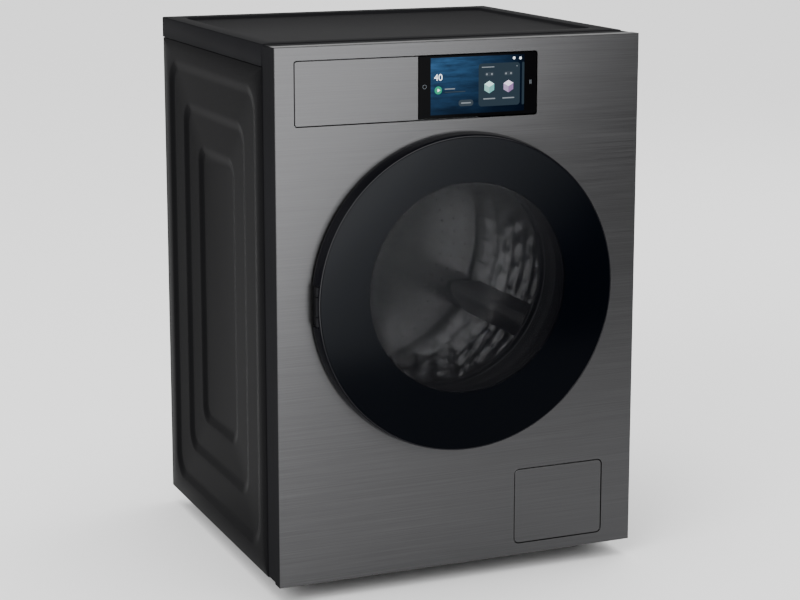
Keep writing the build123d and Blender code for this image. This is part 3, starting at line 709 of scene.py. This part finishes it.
class WASHER_OT_side_panels(bpy.types.Operator):
    """Presses three nested steps into each side panel"""

    bl_idname = "washer.side_panels"
    bl_label = "Side Panels"

    def execute(self, context):
        cabinet = context.scene.washer_cabinet
        for side, node in ((-1, "side_panel_left"), (1, "side_panel_right")):
            low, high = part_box(node)
            outer = abs(low[0]) if side < 0 else high[0]
            width, height = high[1] - low[1], high[2] - low[2]
            middle = ((low[1] + high[1]) / 2, (low[2] + high[2]) / 2)
            round_edge = 1.2 * MM
            loops = [
                (width, height, 0.5 * MM, middle, 18 * MM),
                (width, height, 0.5 * MM, middle, round_edge),
                (width - 0.7 * MM, height - 0.7 * MM, 0.5 * MM, middle, 0.35 * MM),
                (width - 2 * round_edge, height - 2 * round_edge, 0.5 * MM, middle, 0),
            ]
            for step in range(PRESS_STEPS):
                wide, tall = (size - 2 * step * PRESS_INSET for size in PRESS_SIZE)
                for row in range(SLOPE_ROWS + 1):
                    inset = cabinet.emboss_slope * row / SLOPE_ROWS
                    # Each step lies a little deeper than the last one ends, so no two loops share a plane.
                    deep = cabinet.emboss_depth * (step + ease(row, SLOPE_ROWS)) + PRESS_FALL * step
                    corner = PRESS_CORNER - 6 * MM * step - inset * 0.8
                    loops.append((wide - 2 * inset, tall - 2 * inset, corner, PRESS_MIDDLE, deep))
            piece = start_piece(f"embossed_{node}")
            for wide, tall, corner, centre, deep in loops:
                outline((wide, tall), corner, (side * (outer - deep), *centre), FACING_SIDE)
            skin(piece, len(loops), first_cap=False)
            # The side panels' paint carries painted shade: it is the top cover's paint, darkened.
            end_piece(piece, "side_paint_painted_shade", smooth=50)
            modify(piece, "SOLIDIFY", thickness=1.0 * MM, offset=-1.0)
            settle(piece, "cabinet", "dark_steel", node)
        return {"FINISHED"}


class WASHER_OT_top_cover(bpy.types.Operator):
    """Models the top cover with its raised rim and sunken field"""

    bl_idname = "washer.top_cover"
    bl_label = "Top Cover"

    def execute(self, context):
        cabinet = context.scene.washer_cabinet
        low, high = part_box("top_cover")
        middle = (0, (low[1] + high[1]) / 2)
        wide, deep, top = high[0] - low[0], high[1] - low[1], high[2]
        skirt = low[2] + 1 * MM
        loops = [(wide, deep, 4 * MM, middle, skirt)]
        edge = 2.0 * MM
        for step in range(5):
            turn = step / 4 * pi / 2
            cut_in = edge * (1 - cos(turn))
            height = top - edge + edge * sin(turn)
            loops.append((wide - 2 * cut_in, deep - 2 * cut_in, 4 * MM, middle, height))
        field_wide = wide - 2 * cabinet.rim_width
        for row in range(SLOPE_ROWS + 1):
            inset = FIELD_SLOPE * row / SLOPE_ROWS
            height = top - cabinet.field_depth * ease(row, SLOPE_ROWS)
            loops.append((field_wide - 2 * inset, FIELD_DEEP - 2 * inset, FIELD_CORNER - inset * 0.7,
                          FIELD_MIDDLE, height))
        piece = start_piece("rimmed_top_cover")
        for across, along, corner, place_xy, height in loops:
            outline((across, along), corner, (*place_xy, height), FLAT)
        skin(piece, len(loops), first_cap=False)
        end_piece(piece, "satin_paint", smooth=50)
        modify(piece, "SOLIDIFY", thickness=2.4 * MM, offset=-1.0)
        settle(piece, "cabinet", "dark_steel", "top_cover")
        return {"FINISHED"}


class WASHER_OT_display(bpy.types.Operator):
    """Models the display's glass and the picture on it"""

    bl_idname = "washer.display"
    bl_label = "Display"

    def execute(self, context):
        low, high = box_mm("display_glass")
        face = low[1]
        bezel = plate("display_bezel", (low[0], high[0], face, high[1], low[2], high[2]), 3.0, "bezel_glass",
                      square_left=True)
        settle(bezel, "cabinet", "tinted_glass", "display_glass")
        shapes = []

        def patch(x0, x1, z0, z1, corner, layer, material):
            """A thin lit patch on the glass."""
            front = face - 0.04 * layer
            shapes.append(plate("patch", (x0, x1, front, front + 0.04, z0, z1), corner, material, edge=0.01))

        def disc(x, z, radius, layer, material, corners=32, turn=0.0):
            """A thin lit disc, or a shape with few corners."""
            piece = start_piece("disc")
            for depth in (face - 0.04 * (layer - 1), face - 0.04 * layer):
                circle(radius * MM, (x * MM, depth * MM, z * MM), (pi / 2, turn, 0), corners)
            skin(piece, 2)
            shapes.append(end_piece(piece, material))

        # Sizes and places on the glass are in millimetres.
        screen_low, screen_high = box_mm("display_screen")
        patch(screen_low[0], screen_high[0], screen_low[2], screen_high[2], 0.4, 1, "seascape")
        patch(26, 95, 748, 813, 5, 2, "lit_card")
        patch(98.5, 102.4, 748, 813, 1.5, 2, "lit_card")
        disc(-40.5, 775.8, 6.0, 2, "lit_green")
        disc(-40.2, 775.8, 2.9, 3, "lit_white", 3, pi / 2)
        patch(-30, -13, 776.3, 777.9, 0.7, 2, "lit_soft")
        patch(-30, 4, 771.8, 773.0, 0.5, 2, "lit_dim")
        patch(-7, 17.3, 750.0, 759.6, 4.6, 2, "lit_dim")
        patch(-3, 13.3, 753.9, 755.7, 0.8, 3, "lit_soft")
        patch(31, 52, 806.6, 808.0, 0.6, 3, "lit_soft")
        disc(90, 807.3, 0.9, 3, "lit_soft", 16)
        for x, tint in ((43.8, "teal"), (75.8, "violet")):
            patch(x - 7.6, x + 7.6, 793.5, 799.5, 2.8, 3, "lit_dim")
            disc(x - 4.2, 796.5, 1.5, 4, "lit_soft", 20)
            disc(x + 4.2, 796.5, 1.5, 4, "lit_soft", 20)
            patch(x - 10, x + 10, 758.4, 760.2, 0.8, 3, "lit_soft")
            shapes.append(self.cube_icon(x, 777.0, face, tint))
        disc(85.0, 819.5, 2.2, 2, "lit_white", 6)
        disc(95.7, 818.9, 2.3, 2, "lit_white", 5, pi)
        bpy.ops.object.select_all(action="DESELECT")
        bpy.ops.mesh.primitive_torus_add(
            major_radius=2.9 * MM, minor_radius=0.22 * MM, major_segments=48, minor_segments=8,
            location=(-62.8 * MM, (face - 0.05) * MM, 782 * MM), rotation=FACING_FRONT)
        ring = context.object
        bpy.ops.object.transform_apply(location=True, rotation=True, scale=True)
        ring.data.materials.append(MATERIALS["lit_soft"])
        shapes.append(ring)
        patch(111.6, 112.4, 779.0, 785.0, 0.3, 1, "lit_soft")
        patch(113.6, 114.4, 779.0, 785.0, 0.3, 1, "lit_soft")
        shapes.append(self.number("40", -47.5, 790.5, 14.0, face))
        picture = joined("display_picture", shapes)
        settle(picture, "cabinet", "screen")
        return {"FINISHED"}

    def cube_icon(self, x, z, face, tint):
        """A small lit cube, seen from a corner: a hexagon of three rhombuses."""
        piece = start_piece("cube_icon")
        front = (face - 0.16) * MM
        bpy.ops.mesh.primitive_circle_add(vertices=6, radius=9.4 * MM, fill_type="TRIFAN",
                                          location=(x * MM, front, z * MM), rotation=FACING_FRONT)
        end_piece(piece, f"{tint}_light", f"{tint}_mid", f"{tint}_dark")
        for face_of_icon in piece.data.polygons:
            offset = face_of_icon.center - Vector((x * MM, front, z * MM))
            if offset.z > 3.5 * MM:
                face_of_icon.material_index = 0
            elif offset.x > 0:
                face_of_icon.material_index = 1
            else:
                face_of_icon.material_index = 2
        modify(piece, "SOLIDIFY", thickness=0.04 * MM, offset=0.0)
        return piece

    def number(self, text, x, z, size, face):
        """A lit number, as on a dial."""
        bpy.ops.object.select_all(action="DESELECT")
        bpy.ops.object.text_add(location=(x * MM, (face - 0.08) * MM, z * MM), rotation=FACING_FRONT)
        piece = bpy.context.object
        piece.data.body = text
        piece.data.size = size * MM
        piece.data.extrude = 0.02 * MM
        bpy.ops.object.convert(target="MESH")
        piece = bpy.context.object
        bpy.ops.object.transform_apply(location=True, rotation=True, scale=True)
        piece.data.materials.clear()
        piece.data.materials.append(MATERIALS["lit_white"])
        return piece


class WASHER_OT_door(bpy.types.Operator):
    """Models the door's ring, its flat glass, the window and the bowl"""

    bl_idname = "washer.door"
    bl_label = "Door"

    def execute(self, context):
        window = context.scene.washer_door.window_radius / MM
        front = DOOR_FRONT_Y / MM
        ring = turned(
            "door_rim",
            [(236, -290), (236, -294), (241.9, -294), (241.9, front + 0.3), (242.2, front), (243.0, front),
             (243.6, front + 0.25), (244.0, front + 0.9), (245.6, -288), (247.3, -278), (247.5, -276.6),
             (247.3, -275), (246.7, -273.4), (245.4, -272.1), (243.5, -271.5), (238, -271.5), (238, -290)],
            "gloss_black", centre_z=DOOR_Z, steps=192)
        cut(ring, (-252, -228, -294, -268, DOOR_Z / MM - 32, DOOR_Z / MM + 32))
        settle(ring, "door", "black_gloss", "door_ring")

        border = turned("door_glass_border", [(0, -294), (241.6, -294), (241.6, front + 0.4), (241.2, front),
                        (0, front)], "black_glass", centre_z=DOOR_Z, closed=False, steps=192)
        bore(border, window, front - 1, -293)
        settle(border, "door", "tinted_glass", "door_glass")
        pane = turned("door_window", [(0, -294), (window, -294), (window, front), (0, front)],
                      "smoked_window", closed=False, steps=192)
        settle(pane, "door", "tinted_glass")

        outside = [(153, -293), (161.5, -293), (161.5, -288.6), (160.4, -287.6), (158.4, -286.4),
                   (157.6, -280), (157, -268), (154.2, -246), (151.0, -222), (147.6, -198),
                   (145.2, -183), (141.0, -173), (133.0, -165.6), (118, -161.6), (90, -159.6),
                   (50, -158.4), (0, -158)]
        inside = [(0, -163), (50, -163.4), (90, -164.6), (116, -166.6), (129.0, -170.6), (136.6, -177.6),
                  (140.4, -187), (143.0, -200), (146.4, -224), (149.6, -248), (152.2, -268), (153, -293)]
        bowl = turned("door_glass_bowl", outside + inside, "bowl_glass", closed=False)
        settle(bowl, "door", "clear_glass", "door_bowl")
        for piece in (border, pane, bowl):
            bpy.data.collections["softbox_takers"].objects.link(piece)
        return {"FINISHED"}


class WASHER_OT_gasket(bpy.types.Operator):
    """Models the folded rubber gasket between the front panel and the tub"""

    bl_idname = "washer.gasket"
    bl_label = "Gasket"

    def execute(self, context):
        profile = [(165, -266.4), (166.4, -267.6), (172, -268.1), (180, -268.6), (180, -266.4), (176.4, -264),
                   (176, -258), (176, -248), (178, -244), (183, -241), (184, -238), (184, -230), (183, -227),
                   (178.6, -224), (177, -220), (177, -206), (175, -206), (175, -221), (176.4, -225.6),
                   (180.4, -228.4), (181.6, -231), (181.6, -237), (180.6, -239.4), (176, -242.4),
                   (174, -246.6), (173.6, -257), (173, -262.4), (169, -264), (166, -264.8)]
        gasket = turned("folded_gasket", profile, "rubber", smooth=60)
        dress(gasket, "rubber", "door_gasket")
        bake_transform(gasket)
        return {"FINISHED"}


class WASHER_OT_drum(bpy.types.Operator):
    """Models the drum's shell, its drain holes and its pressed back"""

    bl_idname = "washer.drum"
    bl_label = "Drum"

    def execute(self, context):
        drum = context.scene.washer_drum
        depths = [WALL_START + WALL_LENGTH * row / WALL_ROWS for row in range(WALL_ROWS + 1)]
        outside = [(172, -190), *((DRUM_OUTER, depth) for depth in (-190, *depths, 145))]
        inside = [(DRUM_INNER, depth) for depth in (145, *depths[::-1], -189)]
        shell = turned("pillowed_drum_shell", outside + inside + [(180, -189), (178.5, -187.6), (178, -185.4),
                       (176.8, -184.2), (174.6, -183.8), (172.6, -184.6), (172, -186.4)], "drum_steel",
                       steps=216, smooth=6)
        for vertex in shell.data.vertices:
            out = Vector((vertex.co.x, 0, vertex.co.z - DRUM_Z))
            along = (vertex.co.y - WALL_START * MM) / (WALL_LENGTH * MM) * PILLOW_ROWS
            if out.length > (DRUM_INNER - 1) * MM and 0 <= along <= PILLOW_ROWS:
                share = Vector((0, 0, 1)).angle(out) / tau
                across = (share if out.x > 0 else 1 - share) * PILLOWS_AROUND + 0.5 * (int(along) % 2)
                lift = max(0.0, PILLOW_REACH - abs(along % 1 - 0.5) - abs(across % 1 - 0.5))
                vertex.co -= out.normalized() * lift * PILLOW_HEIGHT
        settle(shell, "drum", "drum_steel", "drum_shell")

        hole = start_piece("drain_holes")
        self.press_hole(drum.hole_radius, (234.3 * MM, -165 * MM, DRUM_Z), (0, -pi / 2, 0))
        self.finish_holes(hole)
        bpy.ops.object.select_all(action="DESELECT")
        self.along(hole, drum.hole_rows, HOLE_PITCH)
        self.along(hole, 4, ROW_PITCH)
        other = hole.copy()
        other.data = hole.data.copy()
        context.scene.collection.objects.link(other)
        other.data.transform(Matrix.Translation((0, ROW_PITCH / 2, 0)))
        other.data.transform(self.turn(drum.hole_columns * 2))
        holes = joined("drain_holes", [hole, other])
        self.around(holes, drum.hole_columns)
        settle(holes, "drum", "drum_steel")

        back_hole = start_piece("back_holes")
        for ring in BACK_HOLE_RINGS:
            self.press_hole(drum.hole_radius, (ring * MM, 140.4 * MM, DRUM_Z), FACING_FRONT)
        self.finish_holes(back_hole)
        self.around(back_hole, BACK_HOLES_AROUND)
        settle(back_hole, "drum", "drum_steel")

        face = [(0, 139.2), (40, 139.3), (80, 139.8), (120, 140.3), (160, 140.6), (206, 140.6),
                (214, 141.2), (220, 142.6), (226, 143), (234.9, 143)]
        back = [(234.9, 145), (74.5, 145), (59.5, 141.6), (0, 141)]
        plate_back = turned("pressed_drum_back", face + back, "drum_steel", closed=False, smooth=60)
        settle(plate_back, "drum", "drum_steel", "drum_back")
        return {"FINISHED"}

    def press_hole(self, radius, centre, turn):
        """Adds one drain hole with a raised lip."""
        bpy.ops.mesh.select_all(action="DESELECT")
        bpy.ops.mesh.primitive_circle_add(vertices=8, radius=radius * 1.7, fill_type="NGON",
                                          location=centre, rotation=turn)
        bpy.ops.mesh.inset(thickness=radius * 0.45, depth=0.7 * MM)
        bpy.ops.mesh.inset(thickness=radius * 0.30, depth=-0.4 * MM)

    def finish_holes(self, piece):
        """Leaves edit mode and gives the middle of each hole painted shade: a dark sheet standing for the open
        hole, which is not cut.
        """
        bpy.ops.object.mode_set(mode="OBJECT")
        piece.data.materials.append(MATERIALS["drum_steel"])
        piece.data.materials.append(MATERIALS["painted_hole_shade"])
        for polygon in piece.data.polygons:
            polygon.material_index = int(len(polygon.vertices) > 4)

    def along(self, piece, count, pitch):
        """Repeats the piece along the drum."""
        modify(piece, "ARRAY", count=count, use_relative_offset=False, use_constant_offset=True,
               constant_offset_displace=(0, pitch, 0))

    def turn(self, share):
        """A turn about the drum's axis by this share of a circle."""
        centre = Matrix.Translation((0, 0, DRUM_Z))
        return centre @ Matrix.Rotation(tau / share, 4, "Y") @ centre.inverted()

    def around(self, piece, count):
        """Repeats the piece around the drum."""
        bpy.ops.object.select_all(action="DESELECT")
        bpy.ops.object.empty_add(location=(0, 0, 0))
        turner = bpy.context.object
        turner.matrix_world = self.turn(count)
        bpy.context.view_layer.update()
        modify(piece, "ARRAY", count=count, use_relative_offset=False, use_constant_offset=False,
               use_object_offset=True, offset_object=turner)
        bpy.data.objects.remove(turner)


class WASHER_OT_flexible_parts(bpy.types.Operator):
    """Copies the springs and hoses into welded pieces and hides their CAD nodes"""

    bl_idname = "washer.flexible_parts"
    bl_label = "Springs and Hoses"

    def execute(self, context):
        for node, slot, tub_end_up in (("suspension_springs", "steel", False), ("fill_hose", "rubber", False),
                                       ("sump_hose", "rubber", True)):
            source = frame["nodes"][node]
            piece = bpy.data.objects.new(f"flexible_{node}", source.data.copy())
            context.scene.collection.objects.link(piece)
            modify(piece, "WELD", merge_threshold=0.002 * MM)
            dress(piece, slot, node)
            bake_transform(piece)
        return {"FINISHED"}


class WASHER_OT_rear(bpy.types.Operator):
    """Presses stiffening ribs into the rear panel"""

    bl_idname = "washer.rear"
    bl_label = "Rear Panel"

    def execute(self, context):
        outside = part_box("rear_panel")[1][1]
        ribs = []
        for x, z, width, height in ((-100, 240, 250, 22), (-100, 190, 250, 22), (-100, 140, 250, 22),
                                    (-100, 90, 250, 22), (0, 700, 380, 22)):
            piece = start_piece("rib")
            rows = 6
            for row in range(rows + 1):
                inset = 7 * MM * row / rows
                outline((width * MM - 2 * inset, height * MM - 2 * inset), 10.9 * MM - inset,
                        (x * MM, outside + 3 * MM * ease(row, rows), z * MM), FACING_FRONT)
            skin(piece, rows + 1)
            ribs.append(end_piece(piece, "galvanised", smooth=60))
        settle(joined("rear_panel_ribs", ribs), "cabinet", "galvanised")
        return {"FINISHED"}


# ---------------------------------------------------------------- panel and registration

STEPS = (
    WASHER_OT_stage,
    WASHER_OT_finishes,
    WASHER_OT_side_panels,
    WASHER_OT_top_cover,
    WASHER_OT_display,
    WASHER_OT_door,
    WASHER_OT_gasket,
    WASHER_OT_drum,
    WASHER_OT_flexible_parts,
    WASHER_OT_rear,
)


class WASHER_PT_sidebar(bpy.types.Panel):
    """Lists the machine's pieces."""

    bl_idname = "WASHER_PT_sidebar"
    bl_label = "Front Loading Washer"
    bl_space_type = "VIEW_3D"
    bl_region_type = "UI"
    bl_category = "Washer"

    def draw(self, context):
        for step in STEPS:
            self.layout.operator(step.bl_idname)


SETTINGS = {
    "washer_cabinet": WasherCabinetSettings,
    "washer_door": WasherDoorSettings,
    "washer_drum": WasherDrumSettings,
    "washer_stage": WasherStageSettings,
}


def register():
    for settings in SETTINGS.values():
        bpy.utils.register_class(settings)
    for name, settings in SETTINGS.items():
        setattr(bpy.types.Scene, name, bpy.props.PointerProperty(type=settings))
    for step in STEPS:
        bpy.utils.register_class(step)
    bpy.utils.register_class(WASHER_PT_sidebar)


def unregister():
    bpy.utils.unregister_class(WASHER_PT_sidebar)
    for step in reversed(STEPS):
        bpy.utils.unregister_class(step)
    for name, settings in SETTINGS.items():
        delattr(bpy.types.Scene, name)
        bpy.utils.unregister_class(settings)


def main():
    """Models every piece in order."""
    register()
    for step in STEPS:
        group, operator = step.bl_idname.split(".")
        getattr(getattr(bpy.ops, group), operator)()


if __name__ == "__main__":
    main()
